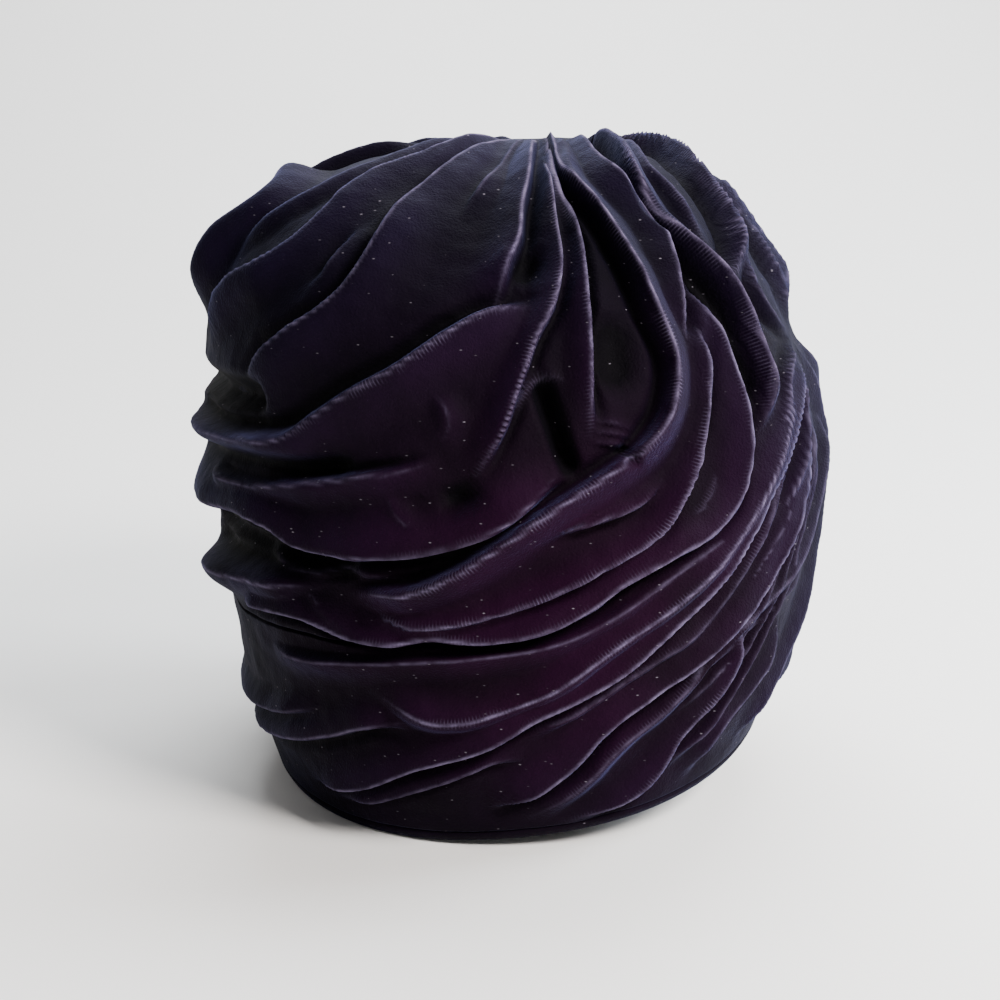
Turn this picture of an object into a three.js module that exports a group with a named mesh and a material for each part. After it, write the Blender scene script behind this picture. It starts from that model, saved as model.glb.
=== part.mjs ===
// A draped velvet turban in its worn form: a crown drape, a wrap drape and a rolled rim round an open head
// hollow. Millimetres and degrees. +Z is up, +Y is toward the wearer's face and the origin is the middle of
// the head opening.
import * as THREE from 'three';

// Plan sections of the smooth form under the folds, from below the rim to the top.
const SECTIONS = [
  { height: -10, halfWidth: 79, halfDepth: 95, centreX: 0, centreY: 0 },
  { height: 6, halfWidth: 90, halfDepth: 104, centreX: 0, centreY: 0 },
  { height: 26, halfWidth: 98, halfDepth: 111, centreX: 0, centreY: 0 },
  { height: 57, halfWidth: 104, halfDepth: 117, centreX: 0, centreY: 0 },
  { height: 94, halfWidth: 107.5, halfDepth: 120, centreX: -1, centreY: 0 },
  { height: 130, halfWidth: 105, halfDepth: 118, centreX: -5, centreY: 1 },
  { height: 158, halfWidth: 95, halfDepth: 110, centreX: -8, centreY: 2 },
  { height: 180, halfWidth: 78, halfDepth: 94, centreX: -7, centreY: 4 },
  { height: 194, halfWidth: 56, halfDepth: 71, centreX: -2, centreY: 5 },
  { height: 201, halfWidth: 31, halfDepth: 41, centreX: 5, centreY: 6 },
  { height: 203, halfWidth: 0, halfDepth: 0, centreX: 9, centreY: 6 },
];
const PLAN_POWER = 2.15;
const RIM_TILT_BACK = 0.11;
const RIM_TILT_RIGHT = 0.1;
const TILT_FADE_HEIGHT = 150;

// Levels run along the form from 0 at its lowest section to 1 at the top.
const RIM_LEVEL = 0.045;
const ROLL_TOP_LEVEL = 0.06;
const WALL_AT_RIM = 6;
const WALL_IN_FOLDS = 10;
const WALL_FULL_LEVEL = 0.3;
const FOLD_SINK = 2.5;
const FOLD_START_LEVEL = 0.04;
const FOLD_FULL_LEVEL = 0.11;
const TOP_FADE = 0.14;
const FOLD_END_FADE = 0.1;
const GROOVE_END_FADE = 0.3;
const PIECE_GAP = 0.5;

// Spacing of the points that carry the cloth: along the folds and edges, and in the plain cloth between them.
const EDGE_STEP = 5;
const EDGE_CLEAR = 4.6;
const CREST_STEP = 4.4;
const CREST_CLEAR = 3.1;
const FOOT_CLEAR = 2.7;
const SLOPE_CLEAR = 3.8;
const BACK_STEP = 6.4;
const FRONT_STEP = 11;
const FRONT_START_SINE = 0.2;
const INNER_STEP = 22;
const INNER_CLEAR = 15;
const RIM_COLUMNS = 96;
const ROLL_FACETS = 6;

// Fineness of the work behind the cloth: samples along a line, curve steps, small moves and the flat plan.
const SAMPLE_STEP = 1.5;
const CURVE_STEPS = 40;
const LENGTH_STEPS = 600;
const SMALL_TURN = 0.5;
const SMALL_RISE = 0.003;
const PLAN_STEPS = 400;
const SMALLEST_RING = 0.5;
const LEAST_AROUND = 6;
const PLAN_FAR = 50;
const PLAN_NUDGE = 1e-5;

// The valley where the crown drape lies over the wrap drape, as points [azimuth, level].
const VALLEY_LINE = [
  [-150, 0.27], [-130, 0.28], [-121, 0.28], [-111, 0.284], [-97, 0.289], [-86, 0.296], [-79, 0.313],
  [-70, 0.343], [-65, 0.357], [-58, 0.376], [-53, 0.392], [-49, 0.415], [-46, 0.45], [-45, 0.5], [-44, 0.55],
  [-44.5, 0.6], [-46, 0.64], [-49, 0.675], [-52, 0.72], [-56, 0.79], [-60, 0.85], [-60, 0.89], [-45, 0.915],
  [-15, 0.9], [22, 0.83], [60, 0.7], [105, 0.52], [150, 0.35], [182, 0.28],
];

// Folds of the cloth: crest points [azimuth, level], height of the crest, width of the slope on each side and
// depth of the valley at the foot of the steep side. The steep side lies to the right on the way along the
// crest, seen from outside.
const FOLDS = [
  { name: 'nape hem', height: 4, gentle: 9, steep: 5, valley: 1,
    crest: [[-132, 0.085], [-120, 0.1], [-112, 0.12], [-104, 0.14], [-95, 0.16], [-86, 0.155]] },
  { name: 'left hem', height: 5, gentle: 10, steep: 5, valley: 2,
    crest: [[-162, 0.13], [-146, 0.14], [-134, 0.16], [-125, 0.18], [-117, 0.2], [-107, 0.2]] },
  { name: 'second sweep', height: 6, gentle: 12, steep: 5, valley: 2,
    crest: [[-138, 0.095], [-123, 0.12], [-110, 0.155], [-98, 0.18], [-88, 0.21], [-78, 0.24],
      [-68, 0.28], [-59, 0.32], [-50, 0.37], [-44, 0.41], [-37, 0.46], [-28, 0.51], [-21, 0.545]] },
  { name: 'first sweep', height: 6, gentle: 11, steep: 9, valley: 0,
    crest: [[-118, 0.235], [-110, 0.22], [-103, 0.212], [-96, 0.217], [-86, 0.238], [-76, 0.277],
      [-66, 0.313], [-56, 0.355], [-49, 0.392], [-40, 0.455], [-29, 0.525]] },
  { name: 'wrap edge', height: 4, gentle: 10, steep: 5, valley: 0,
    crest: [[-47, 0.415], [-53, 0.378], [-61, 0.355], [-68, 0.333], [-78, 0.3], [-86, 0.284],
      [-97, 0.277], [-108, 0.27], [-119, 0.263], [-128, 0.256], [-142, 0.25]] },
  { name: 'deep nape sweep', height: 6, gentle: 13, steep: 5, valley: 4,
    crest: [[-98, 0.095], [-92, 0.108], [-82, 0.145], [-75, 0.195], [-67, 0.222], [-60, 0.243],
      [-52, 0.275], [-42, 0.33], [-34, 0.4], [-26, 0.48]] },
  { name: 'below the deep sweep', height: 4, gentle: 7, steep: 7, valley: 0,
    crest: [[-91, 0.065], [-79, 0.115], [-72, 0.163], [-61, 0.208], [-54, 0.248], [-40, 0.283],
      [-28, 0.32], [-18, 0.4], [-15, 0.48]] },
  { name: 'toothed pocket', height: 5, gentle: 8, steep: 5, valley: 2,
    crest: [[-84, 0.06], [-70, 0.085], [-64, 0.115], [-60, 0.155], [-53, 0.195], [-50, 0.23],
      [-49, 0.258], [-44, 0.285]] },
  { name: 'right hem', height: 4, gentle: 8, steep: 5, valley: 1,
    crest: [[-57, 0.07], [-53, 0.1], [-50, 0.14], [-42, 0.168], [-37, 0.205], [-36, 0.26]] },
  { name: 'right edge sweep', height: 4, gentle: 10, steep: 6, valley: 0,
    crest: [[-42, 0.08], [-33, 0.13], [-25, 0.19], [-18, 0.26], [-14, 0.34], [-13, 0.42], [-16, 0.5],
      [-20, 0.54]] },
  { name: 'right far sweep', height: 4, gentle: 12, steep: 8, valley: 0,
    crest: [[-28, 0.08], [-18, 0.14], [-8, 0.21], [-1, 0.3], [0, 0.4], [-6, 0.48], [-15, 0.54]] },
  { name: 'tack fold', height: 5, gentle: 7, steep: 5, valley: 1,
    crest: [[-20, 0.548], [-32, 0.517], [-36, 0.488], [-41, 0.462], [-46, 0.43]] },
  { name: 'tack fold low', height: 5, gentle: 7, steep: 5, valley: 1,
    crest: [[-20, 0.54], [-27, 0.495], [-31, 0.445], [-37, 0.4], [-44, 0.35]] },
  { name: 'crown edge', height: 8, gentle: 12, steep: 5, valley: 3,
    crest: [[-150, 0.29], [-136, 0.305], [-127, 0.307], [-120, 0.298], [-112, 0.297], [-105, 0.303],
      [-96, 0.302], [-88, 0.31], [-79, 0.33], [-74, 0.35], [-65, 0.373], [-58, 0.388], [-52, 0.413],
      [-48.5, 0.447], [-47, 0.49], [-46.5, 0.545], [-48, 0.605], [-50, 0.65]] },
  { name: 'long swirl', height: 6, gentle: 8, steep: 5, valley: 1.5,
    crest: [[-118, 0.325], [-112, 0.316], [-107, 0.312], [-100, 0.317], [-90, 0.333], [-80, 0.36],
      [-68, 0.393], [-64, 0.425], [-60, 0.46], [-57, 0.5], [-55.5, 0.53], [-54, 0.57], [-51.5, 0.625]] },
  { name: 'ring of the eye', height: 8, gentle: 11, steep: 5, valley: 2,
    crest: [[-86, 0.96], [-79, 0.87], [-74, 0.795], [-66, 0.725], [-63, 0.665], [-61.5, 0.62],
      [-60, 0.565], [-61, 0.535], [-64, 0.5], [-68, 0.475], [-76, 0.447], [-84, 0.42], [-92, 0.39],
      [-100, 0.36], [-107, 0.342], [-113, 0.339], [-120, 0.332]] },
  { name: 'lip of the eye', height: 4, gentle: 6, steep: 5, valley: 1.5,
    crest: [[-90, 0.385], [-84, 0.4], [-76, 0.413], [-70, 0.424], [-66, 0.44], [-63, 0.46]] },
  { name: 'left roll', height: 7, gentle: 16, steep: 5, valley: 3,
    crest: [[-178, 0.385], [-153, 0.388], [-140, 0.398], [-132, 0.393], [-127, 0.38], [-121, 0.378],
      [-112, 0.385], [-104, 0.39], [-96, 0.405], [-90, 0.425], [-85, 0.445], [-80.5, 0.468]] },
  { name: 'left low lump', height: 8, gentle: 14, steep: 5, valley: 4,
    crest: [[-122, 0.334], [-128, 0.336], [-138, 0.33], [-152, 0.318], [-170, 0.31]] },
  { name: 'left overlap', height: 7, gentle: 16, steep: 5, valley: 3,
    crest: [[-79, 0.622], [-90, 0.61], [-98, 0.585], [-107, 0.55], [-115, 0.525], [-122, 0.5],
      [-128, 0.478], [-136, 0.47], [-152, 0.462], [-172, 0.46]] },
  { name: 'roll shoulder', height: 5, gentle: 10, steep: 5, valley: 2,
    crest: [[-100, 0.478], [-103, 0.468], [-109, 0.456], [-115, 0.449], [-127, 0.435], [-140, 0.424],
      [-158, 0.42]] },
  { name: 'pocket ring', height: 4, gentle: 8, steep: 5, valley: 1,
    crest: [[-92, 0.47], [-95, 0.435], [-100, 0.41], [-104, 0.404], [-108, 0.414], [-110, 0.432],
      [-108, 0.458]] },
  { name: 'gather far left', height: 4, gentle: 12, steep: 5, valley: 1,
    crest: [[-104, 0.965], [-99, 0.88], [-96, 0.815], [-97, 0.765], [-100, 0.72]] },
  { name: 'gather left', height: 6, gentle: 12, steep: 5, valley: 2,
    crest: [[-91, 0.6], [-90, 0.62], [-88, 0.665], [-86, 0.7], [-86, 0.74], [-86, 0.8], [-90, 0.88],
      [-96, 0.965]] },
  { name: 'gather middle', height: 6, gentle: 8, steep: 5, valley: 2,
    crest: [[-97, 0.445], [-92, 0.49], [-88, 0.535], [-84, 0.585], [-80, 0.625], [-78, 0.665],
      [-78, 0.705], [-79, 0.77], [-81, 0.83], [-84, 0.9], [-90, 0.97]] },
  { name: 'gather right', height: 6, gentle: 8, steep: 5, valley: 3,
    crest: [[-76.5, 0.48], [-76, 0.545], [-75, 0.58], [-74, 0.655], [-74, 0.71], [-77, 0.765],
      [-80, 0.83], [-83, 0.9]] },
  { name: 'shoulder of the gather', height: 6, gentle: 10, steep: 5, valley: 3,
    crest: [[-56, 0.55], [-56, 0.62], [-55, 0.655], [-54, 0.72], [-61, 0.805], [-62, 0.88], [-54, 0.965]] },
  { name: 'right of the valley', height: 8, gentle: 12, steep: 5, valley: 4,
    crest: [[-30, 0.965], [-45, 0.88], [-51, 0.79], [-50, 0.72], [-46, 0.67], [-42, 0.63], [-40, 0.59],
      [-40, 0.545], [-40, 0.51], [-42, 0.48], [-44, 0.455]] },
  { name: 'bright tube', height: 8, gentle: 9, steep: 5, valley: 2,
    crest: [[6, 0.95], [6, 0.88], [-4, 0.83], [-19, 0.77], [-24, 0.725], [-28, 0.685], [-32, 0.655],
      [-36, 0.638], [-41, 0.638]] },
  { name: 'under the tube', height: 4, gentle: 6, steep: 5, valley: 1,
    crest: [[-10, 0.94], [-30, 0.87], [-40, 0.815], [-40, 0.765], [-40, 0.715], [-40, 0.66]] },
  { name: 'tack line', height: 5, gentle: 8, steep: 5, valley: 1,
    crest: [[18, 0.9], [10, 0.83], [0, 0.775], [-5, 0.72], [-8, 0.68], [-11, 0.635], [-14, 0.59],
      [-20, 0.548]] },
  { name: 'tack line left', height: 4, gentle: 6, steep: 5, valley: 1,
    crest: [[-27, 0.7], [-30, 0.645], [-31, 0.605], [-27, 0.573], [-20, 0.547]] },
  { name: 'right shoulder', height: 7, gentle: 14, steep: 10, valley: 0,
    crest: [[-16, 0.57], [-9, 0.605], [-5, 0.65], [-4, 0.69], [-1, 0.74], [8, 0.8]] },
  { name: 'left crown ridge', height: 6, gentle: 20, steep: 5, valley: 2,
    crest: [[-108, 0.965], [-109, 0.89], [-110, 0.81], [-112, 0.75], [-113, 0.69], [-116, 0.64],
      [-121, 0.605], [-128, 0.575], [-136, 0.54], [-141, 0.505]] },
  { name: 'left crown fold', height: 6, gentle: 16, steep: 5, valley: 2,
    crest: [[-130, 0.97], [-124, 0.92], [-125, 0.84], [-131, 0.79], [-132, 0.72], [-135, 0.675],
      [-140, 0.645], [-148, 0.62], [-155, 0.585], [-160, 0.545]] },
  { name: 'left outer fold', height: 4, gentle: 9, steep: 5, valley: 1,
    crest: [[-160, 0.95], [-148, 0.84], [-147, 0.76], [-154, 0.695], [-164, 0.65]] },
  { name: 'left puff', height: 10, gentle: 14, steep: 10, valley: 0,
    crest: [[-190, 0.76], [-164, 0.72], [-167, 0.66], [-171, 0.61], [-182, 0.58]] },
];

// Grooves between the folds: bottom points [azimuth, level], depth and half width.
const GROOVES = [
  { name: 'under the left puff', depth: 8, halfWidth: 8,
    line: [[-132, 0.515], [-145, 0.507], [-165, 0.5], [-188, 0.5]] },
  { name: 'under the left overlap', depth: 6, halfWidth: 6,
    line: [[-170, 0.44], [-150, 0.442], [-134, 0.45], [-124, 0.452], [-114, 0.463]] },
  { name: 'under the left roll', depth: 7, halfWidth: 7,
    line: [[-114, 0.367], [-126, 0.362], [-140, 0.36], [-172, 0.355]] },
  { name: 'pocket hole', depth: 5, halfWidth: 6,
    line: [[-102, 0.43], [-95, 0.442]] },
  { name: 'slit in the eye', depth: 7, halfWidth: 6,
    line: [[-83, 0.54], [-82, 0.505], [-79.5, 0.46]] },
  { name: 'hole in the eye', depth: 6, halfWidth: 6,
    line: [[-73, 0.472], [-69, 0.468]] },
  { name: 'eye of the swirl', depth: 4, halfWidth: 12,
    line: [[-68, 0.62], [-70, 0.57], [-70, 0.52]] },
  { name: 'right dark valley', depth: 6, halfWidth: 6,
    line: [[-49, 0.66], [-45.5, 0.62], [-44, 0.56], [-45, 0.5]] },
  { name: 'triangle by the gather', depth: 4, halfWidth: 8,
    line: [[-83, 0.7], [-85, 0.635]] },
];

// The far side carries plain sweeps that fan out from the right tack to the left temple, one below the other,
// and plain gathers under the top, one beside the other. The step is from one sweep to the next below it.
const SWEEP = { count: 6, height: 5, gentle: 15, steep: 6, valley: 1 };
const SWEEP_COURSE = [
  { azimuth: 8, level: 0.535, step: 0.03 },
  { azimuth: 50, level: 0.525, step: 0.05 },
  { azimuth: 100, level: 0.47, step: 0.058 },
  { azimuth: 178, level: 0.4, step: 0.055 },
];
const GATHER = { count: 5, height: 5, gentle: 12, steep: 6, valley: 2, first: 30, step: 32, lean: 14 };
const GATHER_LOW = 0.66;
const GATHER_HIGH = 0.88;

const COLOUR = 0x2a1027;
const ROUGHNESS = 0.9;

const radians = THREE.MathUtils.degToRad;
const lerp = THREE.MathUtils.lerp;
const clamp = THREE.MathUtils.clamp;
const smoothstep = THREE.MathUtils.smoothstep;

const curveThrough = (pointOf) => new THREE.CatmullRomCurve3(SECTIONS.map(pointOf));
const profile = curveThrough((s) => new THREE.Vector3(s.halfWidth, s.height, 0));
const breadth = curveThrough((s) => new THREE.Vector3(s.halfDepth, s.centreX, s.centreY));
profile.arcLengthDivisions = LENGTH_STEPS;

// A point of the smooth form at an azimuth and a level.
function formPoint(azimuth, level) {
  const along = profile.getUtoTmapping(clamp(level, 0, 1));
  const section = profile.getPoint(along);
  const plan = breadth.getPoint(along);
  const cos = Math.cos(radians(azimuth));
  const sin = Math.sin(radians(azimuth));
  const reach = (Math.abs(cos) ** PLAN_POWER + Math.abs(sin) ** PLAN_POWER) ** (-1 / PLAN_POWER);
  const x = section.x * cos * reach + plan.y;
  const y = plan.x * sin * reach + plan.z;
  const tilt = 1 - clamp(section.y / TILT_FADE_HEIGHT, 0, 1);
  return new THREE.Vector3(x, y, section.y + tilt * (RIM_TILT_BACK * y + RIM_TILT_RIGHT * x));
}

// The outward normal of the smooth form.
function formNormal(azimuth, level) {
  const held = clamp(level, SMALL_RISE, 1 - 4 * SMALL_RISE);
  const across = formPoint(azimuth + SMALL_TURN, held).sub(formPoint(azimuth - SMALL_TURN, held));
  const up = formPoint(azimuth, held + SMALL_RISE).sub(formPoint(azimuth, held - SMALL_RISE));
  return across.cross(up).normalize();
}

// Samples of a line on the form, with the direction to the right of it and its fade toward both ends.
function surfaceLine(points, step, endFade) {
  const places = placesAlong(points, step);
  const spots = places.map((place) => formPoint(place.azimuth, place.level));
  const last = places.length - 1;
  return places.map((place, i) => {
    const ahead = spots[Math.min(i + 1, last)].clone().sub(spots[Math.max(i - 1, 0)]);
    const right = ahead.cross(formNormal(place.azimuth, place.level)).normalize();
    const share = i / last;
    const fade = smoothstep(share, 0, endFade) * smoothstep(1 - share, 0, endFade);
    return { place, spot: spots[i], right, fade };
  });
}

function nearest(line, point) {
  let best = line[0];
  let least = Infinity;
  for (const sample of line) {
    const distance = sample.spot.distanceToSquared(point);
    if (distance < least) {
      least = distance;
      best = sample;
    }
  }
  const side = point.clone().sub(best.spot).dot(best.right);
  return { distance: Math.sqrt(least), side, fade: best.fade };
}

// A rounded bump: 1 in the middle, 0 at one width from it.
function bump(ratio) {
  return 0.5 + 0.5 * Math.cos(Math.PI * Math.min(Math.abs(ratio), 1));
}

// A slope with an edge: 1 at the crest, 0 at one width from it.
function sail(ratio) {
  return (bump(ratio) + (1 - Math.min(Math.abs(ratio), 1)) ** 2) / 2;
}

function farSideFolds() {
  const found = [];
  for (let i = 0; i < SWEEP.count; i++) {
    const crest = SWEEP_COURSE.map(({ azimuth, level, step }) => [azimuth, level - step * i]);
    found.push({ ...SWEEP, crest });
  }
  for (let i = 0; i < GATHER.count; i++) {
    const azimuth = GATHER.first + GATHER.step * i;
    found.push({ ...GATHER, crest: [[azimuth + GATHER.lean, GATHER_LOW], [azimuth, GATHER_HIGH]] });
  }
  return found;
}

const folds = [...FOLDS, ...farSideFolds()].map((fold) => (
  { ...fold, samples: surfaceLine(fold.crest, SAMPLE_STEP, FOLD_END_FADE) }
));
const grooves = GROOVES.map((groove) => (
  { ...groove, samples: surfaceLine(groove.line, SAMPLE_STEP, GROOVE_END_FADE) }
));

// Height of the folded cloth over the smooth form.
function foldHeight(azimuth, level) {
  const point = formPoint(azimuth, level);
  let crest = 0;
  let valley = 0;
  for (const fold of folds) {
    const { distance, side, fade } = nearest(fold.samples, point);
    const slope = side > 0 ? bump(distance / fold.steep) : sail(distance / fold.gentle);
    crest = Math.max(crest, fold.height * fade * slope);
    if (side > 0) {
      valley = Math.max(valley, fold.valley * fade * bump((distance - fold.steep) / fold.steep));
    }
  }
  for (const groove of grooves) {
    const { distance, fade } = nearest(groove.samples, point);
    valley = Math.max(valley, groove.depth * fade * bump(distance / groove.halfWidth));
  }
  const fromRim = smoothstep(level, FOLD_START_LEVEL, FOLD_FULL_LEVEL);
  const fromTop = smoothstep(1 - level, 0, TOP_FADE);
  return fromRim * (fromTop * (crest - valley) - FOLD_SINK);
}

// The place on the form that lies at a small distance from another one, in the direction given.
function movedPlace(place, direction) {
  const here = formPoint(place.azimuth, place.level);
  const perTurn = formPoint(place.azimuth + SMALL_TURN, place.level).sub(here).divideScalar(SMALL_TURN);
  const perRise = formPoint(place.azimuth, place.level + SMALL_RISE).sub(here).divideScalar(SMALL_RISE);
  return {
    azimuth: place.azimuth + direction.dot(perTurn) / perTurn.lengthSq(),
    level: place.level + direction.dot(perRise) / perRise.lengthSq(),
  };
}

function outerPoint(place) {
  const { azimuth, level } = place;
  return formPoint(azimuth, level).addScaledVector(formNormal(azimuth, level), foldHeight(azimuth, level));
}

function innerPoint(place) {
  const wall = lerp(WALL_AT_RIM, WALL_IN_FOLDS, smoothstep(place.level, RIM_LEVEL, WALL_FULL_LEVEL));
  const normal = formNormal(place.azimuth, place.level);
  return formPoint(place.azimuth, place.level).addScaledVector(normal, -wall);
}

// Places along a line on the form, a step apart. A closed line leaves out the last place, which is the first
// again.
function placesAlong(points, step, closed = false) {
  const knots = closed ? [...points, [points[0][0] + 360, points[0][1]]] : points;
  const flat = knots.map(([azimuth, level]) => new THREE.Vector3(azimuth / 180, level, 0));
  const fine = new THREE.CatmullRomCurve3(flat).getPoints(knots.length * CURVE_STEPS)
    .map((p) => ({ azimuth: p.x * 180, level: p.y }));
  const places = [fine[0]];
  let last = formPoint(fine[0].azimuth, fine[0].level);
  for (const place of fine) {
    const point = formPoint(place.azimuth, place.level);
    if (point.distanceTo(last) >= step) {
      places.push(place);
      last = point;
    }
  }
  if (closed && last.distanceTo(formPoint(fine[0].azimuth, fine[0].level)) < step / 2) {
    places.pop();
  }
  return places;
}

// Places for the cloth: its edges first, then crests, feet and slopes of the folds, then the plain cloth
// between.
function outerPlaces(edges) {
  const kept = edges.map((place) => ({ ...place, point: formPoint(place.azimuth, place.level) }));
  const offer = (place, clear) => {
    if (place.level <= ROLL_TOP_LEVEL || place.level > 1) {
      return;
    }
    const point = formPoint(place.azimuth, place.level);
    const clearOf = (i) => (i < edges.length ? Math.max(clear, EDGE_CLEAR) : clear);
    if (kept.every((other, i) => other.point.distanceTo(point) >= clearOf(i))) {
      kept.push({ ...place, point });
    }
  };
  const beside = ({ place, right }, distance) => movedPlace(place, right.clone().setLength(distance));
  const tracks = folds.flatMap((fold) => (
    surfaceLine(fold.crest, CREST_STEP, FOLD_END_FADE).map((sample) => ({ ...sample, fold }))
  ));
  tracks.forEach((sample) => offer(sample.place, CREST_CLEAR));
  tracks.forEach((sample) => offer(beside(sample, sample.fold.steep), FOOT_CLEAR));
  tracks.forEach((sample) => offer(beside(sample, -sample.fold.gentle / 2), SLOPE_CLEAR));
  for (const groove of grooves) {
    placesAlong(groove.line, CREST_STEP).forEach((place) => offer(place, CREST_CLEAR));
  }
  for (const place of plainPlaces(BACK_STEP)) {
    offer(place, Math.sin(radians(place.azimuth)) > FRONT_START_SINE ? FRONT_STEP : BACK_STEP);
  }
  return kept;
}

function innerPlaces(edges) {
  const kept = edges.map((place) => ({ ...place, point: formPoint(place.azimuth, place.level) }));
  for (const place of plainPlaces(INNER_STEP)) {
    const point = formPoint(place.azimuth, place.level);
    if (kept.every((other) => other.point.distanceTo(point) >= INNER_CLEAR)) {
      kept.push({ ...place, point });
    }
  }
  return kept;
}

// Places spread evenly over the form in rings, every second ring turned by half a step.
function plainPlaces(step) {
  const places = [{ azimuth: 0, level: 1 }];
  const rings = Math.floor(profile.getLength() * (1 - ROLL_TOP_LEVEL) / step);
  for (let ring = 1; ring < rings; ring++) {
    const level = 1 - ring * step / profile.getLength();
    const around = Math.max(LEAST_AROUND, Math.round(2 * Math.PI * ringRadius(level) / step));
    for (let i = 0; i < around; i++) {
      places.push({ azimuth: -180 + 360 * (i + (ring % 2) / 2) / around, level });
    }
  }
  return places;
}

function ringRadius(level) {
  const along = profile.getUtoTmapping(level);
  return (profile.getPoint(along).x + breadth.getPoint(along).x) / 2;
}

// A flat plan of the form that keeps small shapes: radius by level, with the top in the middle.
const planRadius = [1];
for (let i = 1; i <= PLAN_STEPS; i++) {
  const ring = Math.max(SMALLEST_RING, ringRadius((i - 0.5) / PLAN_STEPS));
  planRadius.push(planRadius[i - 1] * Math.exp(-profile.getLength() / PLAN_STEPS / ring));
}

function planPoint(place) {
  const step = clamp(place.level, 0, 1) * PLAN_STEPS;
  const low = Math.min(Math.floor(step), PLAN_STEPS - 1);
  const radius = place.level >= 1 ? 0 : lerp(planRadius[low], planRadius[low + 1], step - low);
  const turn = radians(place.azimuth);
  return new THREE.Vector2(radius * Math.cos(turn), radius * Math.sin(turn));
}

// Triangles that join flat points so that no point lies in the circle round another three. A slight nudge
// keeps any four points off one circle.
function triangulate(points) {
  const nudged = points.map((p, i) => p.clone().multiplyScalar(1 + PLAN_NUDGE * Math.sin(i * i)));
  const around = [[-PLAN_FAR, -PLAN_FAR], [PLAN_FAR, -PLAN_FAR], [0, PLAN_FAR]];
  const all = [...nudged, ...around.map(([x, y]) => new THREE.Vector2(x, y))];
  const withCircle = (corners) => {
    const [a, b, c] = corners.map((i) => all[i]);
    const ab = b.clone().sub(a);
    const ac = c.clone().sub(a);
    const area = 2 * ab.cross(ac);
    const x = (ac.y * ab.lengthSq() - ab.y * ac.lengthSq()) / area;
    const y = (ab.x * ac.lengthSq() - ac.x * ab.lengthSq()) / area;
    return { corners, x: a.x + x, y: a.y + y, reach: x * x + y * y };
  };
  const count = points.length;
  let triangles = [withCircle([count, count + 1, count + 2])];
  nudged.forEach((point, i) => {
    const border = new Map();
    triangles = triangles.filter((t) => {
      if ((point.x - t.x) ** 2 + (point.y - t.y) ** 2 > t.reach) {
        return true;
      }
      t.corners.forEach((from, k) => {
        const to = t.corners[(k + 1) % 3];
        if (!border.delete(`${to} ${from}`)) {
          border.set(`${from} ${to}`, [from, to]);
        }
      });
      return false;
    });
    border.forEach(([from, to]) => triangles.push(withCircle([from, to, i])));
  });
  return triangles.map((t) => t.corners).filter((corners) => corners.every((i) => i < count));
}

function insidePolygon(polygon, point) {
  let inside = false;
  polygon.forEach((a, i) => {
    const b = polygon[(i + 1) % polygon.length];
    if ((a.y > point.y) !== (b.y > point.y) && point.x < a.x + (point.y - a.y) * (b.x - a.x) / (b.y - a.y)) {
      inside = !inside;
    }
  });
  return inside;
}

// The triangles of one piece: those inside the valley line for the crown, outside it for the wrap.
function pieceTriangles(places, valley, crown) {
  const flat = places.map(planPoint);
  return triangulate(flat).filter((corners) => {
    const middle = corners.reduce((sum, i) => sum.add(flat[i]), new THREE.Vector2()).divideScalar(3);
    return insidePolygon(valley, middle) === crown;
  });
}

// A place on the valley line moved to one side of it by half the gap.
function valleySide(valley, i, way) {
  const before = valley[(i + valley.length - 1) % valley.length];
  const after = valley[(i + 1) % valley.length];
  const ahead = formPoint(after.azimuth, after.level).sub(formPoint(before.azimuth, before.level));
  const up = formNormal(valley[i].azimuth, valley[i].level).cross(ahead);
  return movedPlace(valley[i], up.setLength(way * PIECE_GAP / 2));
}

function clothMesh(name, positions, index) {
  const geometry = new THREE.BufferGeometry();
  const numbers = positions.flatMap((p) => p.toArray());
  geometry.setAttribute('position', new THREE.Float32BufferAttribute(numbers, 3));
  geometry.setIndex(index);
  geometry.computeVertexNormals();
  const material = new THREE.MeshStandardMaterial({ color: COLOUR, roughness: ROUGHNESS });
  material.name = 'velvet';
  const mesh = new THREE.Mesh(geometry, material);
  mesh.name = name;
  return mesh;
}

// A wall of cloth: the folded outer face, the smooth inner face and the edges that join them.
function drapePiece(name, rim, valley, crown) {
  const edges = [...rim, ...valley];
  const line = valley.map(planPoint);
  const way = crown ? 1 : -1;
  const positions = [];
  const index = [];
  const face = (places, pointOf, turned) => {
    const numbers = new Map();
    const number = (i) => {
      if (!numbers.has(i)) {
        const k = i - rim.length;
        const place = k >= 0 && k < valley.length ? valleySide(valley, k, way) : places[i];
        numbers.set(i, positions.push(pointOf(place)) - 1);
      }
      return numbers.get(i);
    };
    for (const [a, b, c] of pieceTriangles(places, line, crown)) {
      index.push(...(turned ? [a, c, b] : [a, b, c]).map(number));
    }
    return number;
  };
  const outer = face(outerPlaces(edges), outerPoint, false);
  const inner = face(innerPlaces(edges), innerPoint, true);
  const wall = (from, to) => {
    index.push(outer(to), outer(from), inner(from), outer(to), inner(from), inner(to));
  };
  valley.forEach((_, i) => {
    const here = rim.length + i;
    const next = rim.length + (i + 1) % valley.length;
    wall(...(crown ? [here, next] : [next, here]));
  });
  if (!crown) {
    rim.forEach((_, i) => wall(i, (i + 1) % rim.length));
  }
  return clothMesh(name, positions, index);
}

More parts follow.
